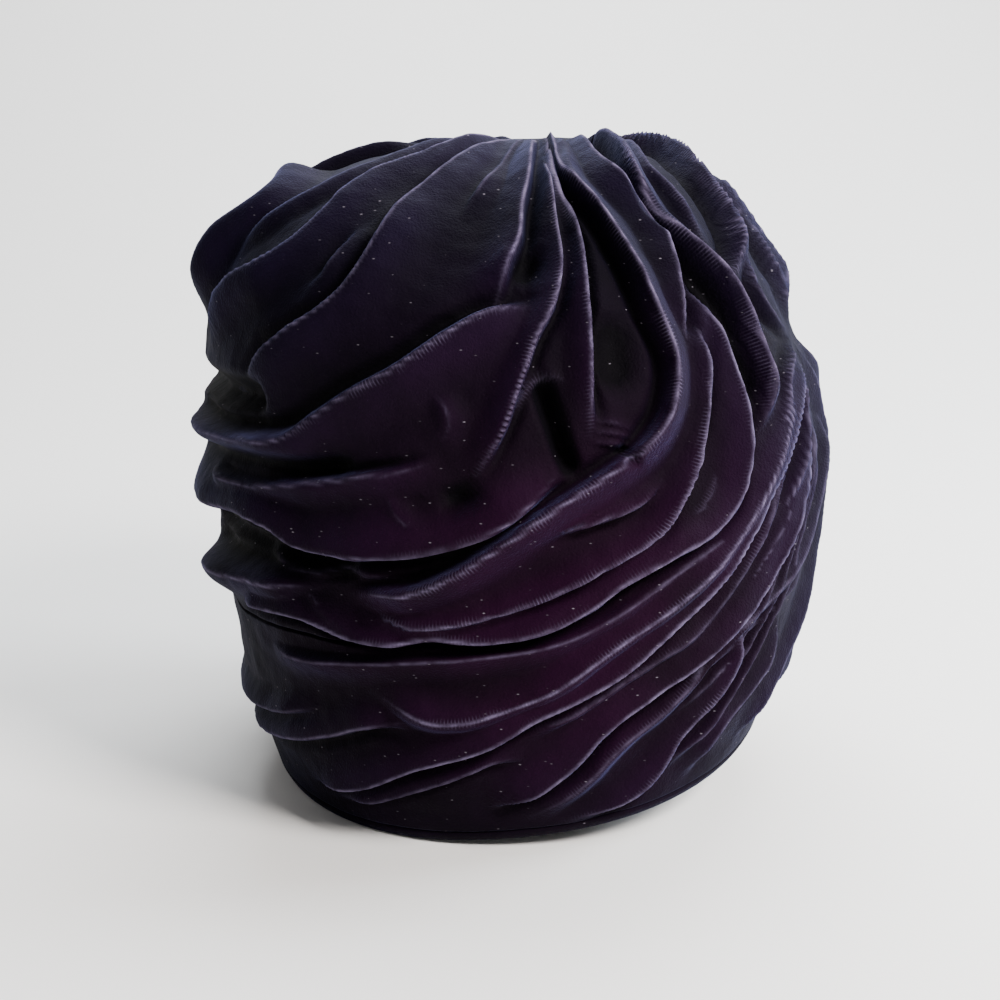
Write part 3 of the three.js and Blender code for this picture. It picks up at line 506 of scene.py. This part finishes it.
class Relief:
    """Height of the folded cloth over the form, and what its material needs to know of the folds."""

    def __init__(self):
        rows = [dict(zip(FOLD_COLUMNS, row)) for row in (*FOLDS, *repeated_folds())]
        self.folds = [(row, SurfaceLine(row["crest"], FOLD_TAPER)) for row in rows]
        rows = [dict(zip(GROOVE_COLUMNS, row)) for row in GROOVES]
        self.grooves = [(row, SurfaceLine(row["line"], GROOVE_TAPER)) for row in rows]

    def measure(self, azimuth, level):
        """Height, sideways lean and the facts kept for the material, for each place."""
        points = FORM.point(azimuth, level)
        count = len(points)
        crest = np.zeros(count)
        second = np.zeros(count)
        valley = np.zeros(count)
        ridge = np.zeros(count)
        teeth = np.zeros(count)
        run_along = np.zeros(count)
        lean = np.zeros((count, 3))
        edge = smoothstep(np.abs((azimuth - LEFT_AZIMUTH + 180.0) % 360.0 - 180.0), *LEFT_SOFT_SPAN)
        for number, (row, line) in enumerate(self.folds):
            reach = max(row["gentle"], 2.0 * row["steep"])
            index, distance, side, run, fade, right = line.near(points, reach)
            steep = side > 0
            gentle = distance / row["gentle"]
            slope = bump(gentle) + edge[index] * (sail(gentle) - bump(gentle))
            shape = np.where(steep, bump(distance / row["steep"]), slope)
            height = row["height"] * fade * uneven(run, number) * shape
            before = crest[index]
            higher = height > before
            second[index] = np.where(higher, before, np.maximum(second[index], height))
            crest[index] = np.maximum(before, height)
            tip = right * min(1.0, LEAN_STEEP / row["steep"]) ** 2
            lean[index] = np.where(higher[:, None], tip, lean[index])
            # Where the painted crest highlight and the real combed teeth lie.
            sharp = fade * min(1.0, row["height"] / FULL_CREST_HEIGHT)
            line_here = sharp * bump(distance / CREST_HALF_WIDTH)
            comb_here = sharp * row["teeth"] * bump(distance / COMB_HALF_WIDTH)
            ridge[index] = np.where(higher, line_here, ridge[index])
            teeth[index] = np.where(higher, comb_here, teeth[index])
            run_along[index] = np.where(higher, run, run_along[index])
            foot = row["valley"] * fade * bump((distance - row["steep"]) / row["steep"])
            valley[index] = np.maximum(valley[index], np.where(steep, foot, 0.0))
        for row, line in self.grooves:
            index, distance, _, _, fade, _ = line.near(points, row["half_width"])
            depth = row["depth"] * fade * bump(distance / row["half_width"])
            valley[index] = np.maximum(valley[index], depth)
        height = smoothstep(1.0 - level, 0.0, TOP_FADE) * (crest - valley)
        lean_share = LEAN * edge * smoothstep(1.0 - level, TOP_FADE / 2.0, 2.0 * TOP_FADE)
        return height, lean * (lean_share * (crest - second))[:, None], (ridge, teeth, run_along, height)


RELIEF = Relief()


def valley_levels(columns):
    """Level of the valley line at each column of the mesh."""
    first_azimuth, first_level = VALLEY_LINE[0]
    azimuth, level = surface_curve((*VALLEY_LINE, (first_azimuth + 360, first_level)), VALLEY_STEPS)
    place = azimuth + COLUMN_TURN * (level - 0.5)
    return np.interp((columns - place[0]) % 360.0 + place[0], place, level)


class TurbanForm(bpy.types.PropertyGroup):
    """Sizes of the cloth."""

    rim_level: bpy.props.FloatProperty(
        name="Rim level", description="Level of the rim's lower edge", default=0.045)
    roll_top: bpy.props.FloatProperty(
        name="Roll top", description="Level of the rim roll's upper edge", default=0.06)
    wall_rim: bpy.props.FloatProperty(
        name="Wall at the rim", description="Thickness of the cloth at the rim", default=0.006, unit="LENGTH")
    wall_folds: bpy.props.FloatProperty(
        name="Wall in the folds", description="Depth of the inner face under the form",
        default=0.010, unit="LENGTH")
    sink: bpy.props.FloatProperty(
        name="Sink", description="How far the plain cloth lies under the form", default=0.0025, unit="LENGTH")
    gap: bpy.props.FloatProperty(
        name="Gap", description="Gap between the drapes", default=0.0005, unit="LENGTH")
    back_columns: bpy.props.IntProperty(
        name="Back columns", description="Columns of the mesh on the folded back", default=345)
    front_columns: bpy.props.IntProperty(
        name="Front columns", description="Columns of the mesh on the far side", default=65)
    crown_rows: bpy.props.IntProperty(
        name="Crown rows", description="Rows of the crown's outer face", default=200)
    wrap_rows: bpy.props.IntProperty(
        name="Wrap rows", description="Rows of the wrap's outer face", default=150)
    inner_rows: bpy.props.IntProperty(
        name="Inner rows", description="Rows of a drape's inner face", default=16)


class TurbanCloth(bpy.types.PropertyGroup):
    """Colours of the velvet, with painted light and shade: the lit middle of the back, its shaded sides, the
    valleys and the crest highlights.
    """

    # Painted light: the pile's colour where light falls face-on in the middle of the back.
    base: bpy.props.FloatVectorProperty(
        name="Pile", description="Colour of the pile in the middle of the back",
        subtype="COLOR", size=4, default=(0.0090, 0.0005, 0.0078, 1.0))
    # Painted shade: the pile's darker, cooler colour away from the lit middle.
    cool: bpy.props.FloatVectorProperty(
        name="Cool pile", description="Colour of the pile away from the middle",
        subtype="COLOR", size=4, default=(0.0036, 0.0014, 0.0080, 1.0))
    # Painted shade: the colour the pile is darkened to deep in the valleys.
    deep: bpy.props.FloatVectorProperty(
        name="Valley", description="Colour of the pile deep in the valleys",
        subtype="COLOR", size=4, default=(0.0003, 0.0002, 0.0006, 1.0))
    # Painted highlight: the bright colour along the crests and over the real combed teeth there.
    crest_highlight: bpy.props.FloatVectorProperty(
        name="Crest", description="Colour of the pile along the crests",
        subtype="COLOR", size=4, default=(0.135, 0.108, 0.180, 1.0))
    sheen: bpy.props.FloatVectorProperty(
        name="Sheen", description="Tint of the sheen",
        subtype="COLOR", size=4, default=(0.13, 0.15, 0.36, 1.0))
    lint: bpy.props.FloatVectorProperty(
        name="Lint", description="Colour of lint on the pile",
        subtype="COLOR", size=4, default=(0.19, 0.17, 0.20, 1.0))


class TurbanStage(bpy.types.PropertyGroup):
    """Camera and floor."""

    elevation: bpy.props.FloatProperty(
        name="Elevation", description="Height angle of the camera", default=math.radians(18), subtype="ANGLE")
    distance: bpy.props.FloatProperty(
        name="Distance", description="Camera to the target", default=0.66, unit="LENGTH")
    target_x: bpy.props.FloatProperty(
        name="Target X", description="Sideways place of the target", default=-0.0062, unit="LENGTH")
    target_z: bpy.props.FloatProperty(
        name="Target Z", description="Height of the target", default=0.027, unit="LENGTH")
    lens: bpy.props.FloatProperty(name="Lens", description="Focal length in millimetres", default=64.8)
    lift: bpy.props.FloatProperty(name="Lift", description="Upward shift of the picture", default=0.13)
    floor_depth: bpy.props.FloatProperty(
        name="Floor depth", description="Flat floor behind the middle", default=0.5, unit="LENGTH")
    sweep: bpy.props.FloatProperty(
        name="Sweep", description="Radius of the sweep up to the backdrop", default=0.9, unit="LENGTH")
    floor: bpy.props.FloatVectorProperty(
        name="Floor", description="Colour of the floor",
        subtype="COLOR", size=4, default=(0.88, 0.86, 0.82, 1.0))


def column_places(sizes):
    """Turned azimuths of the mesh's columns, closer together on the folded back."""
    back = BACK_START + BACK_SPAN * np.arange(sizes.back_columns) / sizes.back_columns
    steps = np.arange(sizes.front_columns + 1) / sizes.front_columns
    front = BACK_START + BACK_SPAN + (360.0 - BACK_SPAN) * steps
    return np.concatenate([back, front])


def row_places(columns, low, high, share):
    """Azimuths and levels of one row of a drape, at a share of the way from its lower to its upper edge."""
    level = low + (high - low) * share
    return columns - COLUMN_TURN * (level - 0.5), level


def wrinkles(points):
    """Small uneven swells of the cloth, in millimetres."""
    waves = [dict(zip(WRINKLE_COLUMNS, row)) for row in WRINKLES]
    return np.array([sum(w["height"] * noise.noise(Vector(p) / w["length"]) for w in waves) for p in points])


def outer_points(azimuth, level, sizes):
    """Points and facts of the folded outer face."""
    height, lean, facts = RELIEF.measure(azimuth, level)
    smooth = FORM.point(azimuth, level)
    share = smoothstep(level, *FOLDS_START)
    rise = share * (height - sizes.sink / MM + wrinkles(smooth))
    points = smooth + FORM.normal(azimuth, level) * rise[:, None] + lean * share[:, None]
    return points, *facts


def plain(points):
    """Points with no facts for the material."""
    zero = np.zeros(len(points))
    return points, *[zero for _ in FACTS]


def inner_points(azimuth, level, sizes):
    """Points of the smooth inner face, with no facts."""
    share = smoothstep(level, sizes.rim_level, FULL_WALL_LEVEL)
    wall = sizes.wall_rim + (sizes.wall_folds - sizes.wall_rim) * share
    return plain(FORM.point(azimuth, level) - FORM.normal(azimuth, level) * (wall / MM)[:, None])


def linked_object(name, bm, material):
    """An object of smooth faces from a bmesh, in the scene."""
    for face in bm.faces:
        face.smooth = True
    mesh = bpy.data.meshes.new(name)
    bm.to_mesh(mesh)
    bm.free()
    mesh.materials.append(material)
    obj = bpy.data.objects.new(name, mesh)
    bpy.context.scene.collection.objects.link(obj)
    return obj


def cloth_object(name, stations):
    """A velvet object from rows of points and facts, each row running round the piece."""
    rows = len(stations)
    columns = len(stations[0][0])
    bm = bmesh.new()
    bmesh.ops.create_grid(bm, x_segments=columns - 1, y_segments=rows - 1, size=1.0)
    place = np.array([v.co[:2] for v in bm.verts])
    i = np.rint((place[:, 0] + 1.0) / 2.0 * (columns - 1)).astype(int)
    j = np.rint((place[:, 1] + 1.0) / 2.0 * (rows - 1)).astype(int)
    points = np.stack([s[0] for s in stations])[j, i] * MM
    facts = [np.stack([s[k + 1] for s in stations])[j, i] for k in range(len(FACTS))]
    layers = [bm.verts.layers.float.new(fact) for fact in FACTS]
    for vert, co, values in zip(bm.verts, points.tolist(), zip(*(f.tolist() for f in facts))):
        vert.co = co
        for layer, value in zip(layers, values):
            vert[layer] = value
    bmesh.ops.remove_doubles(bm, verts=bm.verts, dist=WELD)
    bmesh.ops.recalc_face_normals(bm, faces=bm.faces)
    return linked_object(name, bm, velvet())


class NodeKit:
    """Short ways to add nodes to a material."""

    def __init__(self, material):
        material.use_nodes = True
        self.nodes = material.node_tree.nodes
        self.links = material.node_tree.links
        self.shader = self.nodes["Principled BSDF"]
        self.place = self.nodes.new("ShaderNodeTexCoord").outputs["Object"]

    def put(self, socket, value):
        """Link a socket to an input, or set the input to a constant."""
        if isinstance(value, bpy.types.NodeSocket):
            self.links.new(value, socket)
        else:
            socket.default_value = value

    def attribute(self, name):
        """A fact of the cloth."""
        node = self.nodes.new("ShaderNodeAttribute")
        node.attribute_name = name
        return node.outputs["Fac"]

    def math(self, operation, *values):
        """The result of a sum, product or other operation."""
        node = self.nodes.new("ShaderNodeMath")
        node.operation = operation
        for socket, value in zip(node.inputs, values):
            self.put(socket, value)
        return node.outputs[0]

    def grain(self, scale, detail):
        """Noise at a place on the object."""
        node = self.nodes.new("ShaderNodeTexNoise")
        node.inputs["Scale"].default_value = scale
        node.inputs["Detail"].default_value = detail
        self.links.new(self.place, node.inputs["Vector"])
        return node.outputs["Fac"]

    def between(self, value, low, high, to_low, to_high):
        """A value moved from one range to another, and kept inside it."""
        node = self.nodes.new("ShaderNodeMapRange")
        node.inputs["From Min"].default_value = low
        node.inputs["From Max"].default_value = high
        node.inputs["To Min"].default_value = to_low
        node.inputs["To Max"].default_value = to_high
        self.links.new(value, node.inputs["Value"])
        return node.outputs["Result"]

    def blend(self, factor, a, b):
        """A colour between two colours."""
        node = self.nodes.new("ShaderNodeMix")
        node.data_type = "RGBA"
        self.links.new(factor, node.inputs["Factor"])
        self.put(node.inputs["A"], a)
        self.put(node.inputs["B"], b)
        return node.outputs["Result"]


def lint_specks(kit):
    """How much lint covers a place: short specks, chosen at random."""
    flat = kit.nodes.new("ShaderNodeMapping")
    flat.inputs["Scale"].default_value = LINT_STRETCH
    kit.links.new(kit.place, flat.inputs["Vector"])
    specks = kit.nodes.new("ShaderNodeTexVoronoi")
    specks.inputs["Scale"].default_value = LINT_SCALE
    kit.links.new(flat.outputs["Vector"], specks.inputs["Vector"])
    chosen = kit.nodes.new("ShaderNodeSeparateColor")
    kit.links.new(specks.outputs["Color"], chosen.inputs["Color"])
    size = kit.between(specks.outputs["Distance"], *LINT_SIZE_RANGE)
    return kit.math("MULTIPLY", size, kit.between(chosen.outputs["Red"], *LINT_CHOICE_RANGE))


def lit_middle_pile(kit, colours):
    """The pile's colour with painted light: wine where light falls face-on in the middle of the back, and
    cooler and darker away from it as painted shade.
    """
    away = kit.nodes.new("ShaderNodeVectorMath")
    away.operation = "DISTANCE"
    away.inputs[1].default_value = LIT_MIDDLE
    kit.links.new(kit.place, away.inputs[0])
    return kit.blend(kit.between(away.outputs["Value"], *LIT_FALLOFF_RANGE), colours.base, colours.cool)


def velvet():
    """The velvet: a dark pile with a cool sheen, combed teeth along the crests and a little lint, with
    painted highlights along the crests, painted shade in the valleys and painted light in the middle of the
    back.
    """
    found = bpy.data.materials.get("velvet_pile")
    if found:
        return found
    colours = bpy.context.scene.turban_cloth
    material = bpy.data.materials.new("velvet_pile")
    kit = NodeKit(material)
    kit.shader.inputs["Roughness"].default_value = PILE_ROUGHNESS
    kit.shader.inputs["Specular IOR Level"].default_value = PILE_SPECULAR
    kit.shader.inputs["Sheen Roughness"].default_value = SHEEN_ROUGHNESS
    kit.shader.inputs["Sheen Tint"].default_value = colours.sheen
    wave = kit.math("SINE", kit.math("MULTIPLY", kit.attribute("run"), 2.0 * math.pi / COMB_PITCH))
    comb = kit.math("MULTIPLY", kit.between(wave, *COMB_RANGE), kit.attribute("teeth"))
    patches = kit.between(kit.grain(*PATCH_GRAIN), *PATCH_RANGE)
    patchy_comb = kit.math("MULTIPLY", kit.math("MULTIPLY", comb, patches), COMB_SHARE)
    # Painted highlight along the crests and over the combed teeth.
    crest = kit.math("POWER", kit.attribute("ridge"), CREST_POWER)
    line = kit.math("MULTIPLY", crest, kit.between(kit.grain(*CREST_GRAIN), *CREST_RANGE))
    # Painted shade in the valleys, on the pile colour and on the sheen weight; the grain only varies it at
    # random.
    depth = kit.between(kit.attribute("height"), *VALLEY_SHADE_RANGE)
    depth = kit.math("MULTIPLY", depth, kit.between(kit.grain(*SHADE_GRAIN), *SHADE_RANGE))
    pile = kit.blend(depth, colours.deep, lit_middle_pile(kit, colours))
    cloth = kit.blend(kit.math("MAXIMUM", line, patchy_comb), pile, colours.crest_highlight)
    kit.put(kit.shader.inputs["Base Color"], kit.blend(lint_specks(kit), cloth, colours.lint))
    kit.put(kit.shader.inputs["Sheen Weight"], kit.math("MULTIPLY", depth, SHEEN_WEIGHT))
    nap = kit.math("MULTIPLY", kit.grain(*NAP_GRAIN), NAP_BUMP)
    height = kit.math("ADD", nap, kit.math("MULTIPLY", comb, COMB_BUMP))
    bumps = kit.nodes.new("ShaderNodeBump")
    bumps.inputs["Strength"].default_value = BUMP_STRENGTH
    bumps.inputs["Distance"].default_value = BUMP_DISTANCE
    kit.put(bumps.inputs["Height"], kit.math("ADD", height, kit.grain(*CREASE_GRAIN)))
    kit.put(kit.shader.inputs["Normal"], bumps.outputs["Normal"])
    return material


class TURBAN_OT_crown(bpy.types.Operator):
    """Model the crown drape"""

    bl_idname = "turban.crown"
    bl_label = "Crown drape"

    def execute(self, context):
        sizes = context.scene.turban_form
        columns = column_places(sizes)
        low = valley_levels(columns) + sizes.gap / MM / FORM.length
        inner_shares = np.linspace(1.0, 0.0, sizes.inner_rows)
        outer_shares = np.linspace(0.0, 1.0, sizes.crown_rows) ** CROWN_ROW_POWER
        inner = [inner_points(*row_places(columns, low, 1.0, share), sizes) for share in inner_shares]
        outer = [outer_points(*row_places(columns, low, 1.0, share), sizes) for share in outer_shares]
        obj = cloth_object("crown_cloth", inner + outer)
        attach(obj, "root")
        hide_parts("crown_drape")
        return {"FINISHED"}


class TURBAN_OT_wrap(bpy.types.Operator):
    """Model the wrap drape"""

    bl_idname = "turban.wrap"
    bl_label = "Wrap drape"

    def execute(self, context):
        sizes = context.scene.turban_form
        columns = column_places(sizes)
        gap = sizes.gap / MM / FORM.length
        low = np.full(len(columns), sizes.roll_top + gap)
        high = valley_levels(columns) - gap
        outer_shares = np.linspace(0.0, 1.0, sizes.wrap_rows)
        inner_shares = np.linspace(1.0, 0.0, sizes.inner_rows)
        outer = [outer_points(*row_places(columns, low, high, share), sizes) for share in outer_shares]
        inner = [inner_points(*row_places(columns, low, high, share), sizes) for share in inner_shares]
        obj = cloth_object("wrap_cloth", outer + inner + outer[:1])
        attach(obj, "root")
        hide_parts("wrap_drape")
        return {"FINISHED"}


def squared(wave):
    """A sine or cosine made fuller, which turns a circle into a rounded square."""
    return math.copysign(abs(wave) ** ROLL_POWER, wave)


class TURBAN_OT_rim(bpy.types.Operator):
    """Model the rolled rim"""

    bl_idname = "turban.rim"
    bl_label = "Rim roll"

    def execute(self, context):
        sizes = context.scene.turban_form
        azimuth = np.linspace(-180.0, 180.0, RIM_COLUMNS)
        rows = []
        for angle in np.linspace(0.0, 2.0 * math.pi, RIM_ROWS):
            share = 0.5 - 0.5 * squared(math.cos(angle))
            level = np.full(len(azimuth), sizes.rim_level + (sizes.roll_top - sizes.rim_level) * share)
            out = (squared(math.sin(angle)) - 1.0) * sizes.wall_rim / 2.0 / MM
            rows.append(plain(FORM.point(azimuth, level) + FORM.normal(azimuth, level) * out))
        obj = cloth_object("rim_cloth", rows)
        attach(obj, "root")
        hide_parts("rim_roll")
        return {"FINISHED"}


def add_floor(stage):
    """The pale floor, which sweeps up to a backdrop behind the turban."""
    floor_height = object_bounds()[0][2]
    bm = bmesh.new()
    bmesh.ops.create_grid(bm, x_segments=1, y_segments=FLOOR_ROWS, size=FLOOR_HALF)
    for vert in bm.verts:
        turn = min(max((vert.co.y - stage.floor_depth) / stage.sweep, 0.0), math.pi / 2.0)
        rise = max(vert.co.y - stage.floor_depth - stage.sweep * math.pi / 2.0, 0.0)
        vert.co.z = stage.sweep * (1.0 - math.cos(turn)) + rise
        vert.co.y = min(vert.co.y, stage.floor_depth) + stage.sweep * math.sin(turn)
    paint = bpy.data.materials.new("floor_paint")
    paint.use_nodes = True
    shader = paint.node_tree.nodes["Principled BSDF"]
    shader.inputs["Base Color"].default_value = stage.floor
    shader.inputs["Roughness"].default_value = FLOOR_ROUGHNESS
    floor = linked_object("floor", bm, paint)
    floor.location.z = floor_height
    floor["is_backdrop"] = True


def add_lights():
    """Soft light from the room and from three large lamps."""
    scene = bpy.context.scene
    world = bpy.data.worlds.new("studio")
    world.use_nodes = True
    background = world.node_tree.nodes["Background"]
    background.inputs["Color"].default_value = WORLD_COLOUR
    background.inputs["Strength"].default_value = WORLD_STRENGTH
    scene.world = world
    for row in (dict(zip(LIGHT_COLUMNS, values)) for values in LIGHTS):
        light = bpy.data.lights.new(row["name"], "AREA")
        light.size = row["size"]
        light.energy = row["power"]
        light.color = row["colour"]
        lamp = bpy.data.objects.new(row["name"], light)
        lamp.location = row["place"]
        lamp.rotation_euler = (Vector(LIGHT_TARGET) - lamp.location).to_track_quat("-Z", "Y").to_euler()
        scene.collection.objects.link(lamp)


def add_camera(stage):
    """The camera, behind the wearer and a little above."""
    scene = bpy.context.scene
    camera = bpy.data.cameras.new("camera")
    camera.lens = stage.lens
    camera.sensor_width = SENSOR_WIDTH
    camera.shift_y = stage.lift
    camera.clip_start = CLIP_START
    view = bpy.data.objects.new("camera", camera)
    target = Vector((stage.target_x, 0.0, stage.target_z))
    back = Vector((0.0, -math.cos(stage.elevation), math.sin(stage.elevation))) * stage.distance
    view.location = target + back
    view.rotation_euler = (-back).to_track_quat("-Z", "Y").to_euler()
    scene.collection.objects.link(view)
    scene.camera = view


class TURBAN_OT_stage(bpy.types.Operator):
    """Place the floor, the lights and the camera"""

    bl_idname = "turban.stage"
    bl_label = "Studio"

    def execute(self, context):
        add_floor(context.scene.turban_stage)
        add_lights()
        add_camera(context.scene.turban_stage)
        return {"FINISHED"}


class TURBAN_PT_panel(bpy.types.Panel):
    """Sidebar panel of the turban"""

    bl_idname = "TURBAN_PT_panel"
    bl_label = "Draped turban"
    bl_space_type = "VIEW_3D"
    bl_region_type = "UI"
    bl_category = "Turban"

    def draw(self, context):
        for operator in ("turban.crown", "turban.wrap", "turban.rim", "turban.stage"):
            self.layout.operator(operator)


CLASSES = (
    TurbanForm,
    TurbanCloth,
    TurbanStage,
    TURBAN_OT_crown,
    TURBAN_OT_wrap,
    TURBAN_OT_rim,
    TURBAN_OT_stage,
    TURBAN_PT_panel,
)


def register():
    """Register the classes and their properties."""
    for cls in CLASSES:
        bpy.utils.register_class(cls)
    bpy.types.Scene.turban_form = bpy.props.PointerProperty(type=TurbanForm)
    bpy.types.Scene.turban_cloth = bpy.props.PointerProperty(type=TurbanCloth)
    bpy.types.Scene.turban_stage = bpy.props.PointerProperty(type=TurbanStage)


def unregister():
    """Take the properties and classes away again."""
    del bpy.types.Scene.turban_stage
    del bpy.types.Scene.turban_cloth
    del bpy.types.Scene.turban_form
    for cls in reversed(CLASSES):
        bpy.utils.unregister_class(cls)


def main():
    """Model the turban and its studio."""
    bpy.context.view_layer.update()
    register()
    bpy.ops.turban.crown()
    bpy.ops.turban.wrap()
    bpy.ops.turban.rim()
    bpy.ops.turban.stage()


if __name__ == "__main__":
    main()
